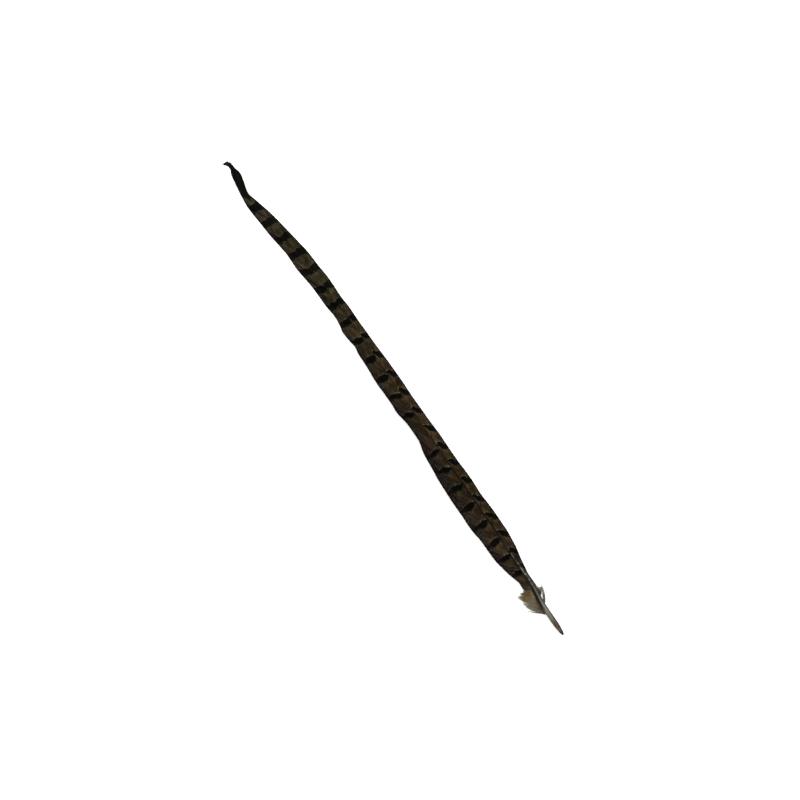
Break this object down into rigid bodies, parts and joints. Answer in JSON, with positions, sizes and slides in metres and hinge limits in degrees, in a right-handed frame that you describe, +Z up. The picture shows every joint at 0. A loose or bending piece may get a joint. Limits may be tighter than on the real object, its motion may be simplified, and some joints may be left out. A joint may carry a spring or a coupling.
{
  "type": "pheasant tail feather",
  "caption": "Long barred tail feather lying flat: pale horn quill, slender shaft, a wide and a narrow vane, downy tufts at the foot and a dark twisted tip.",
  "frame": {"origin": "on the surface that the feather lies on, under the middle of its box", "axes": "+Y along the feather from the quill's end to the tip, +X across it towards the narrow vane, +Z up from the surface, with the feather's upper side up"},
  "size_m": [0.0286, 0.5, 0.0094],
  "materials": {
    "horn": "satin",
    "barred_barbs": "matte",
    "down": "matte"
  },
  "bodies": {
    "root": {"shaft": "horn", "left_vane": "barred_barbs", "right_vane": "barred_barbs", "left_down_tuft": "down", "right_down_tuft": "down"}
  },
  "joints": []
}
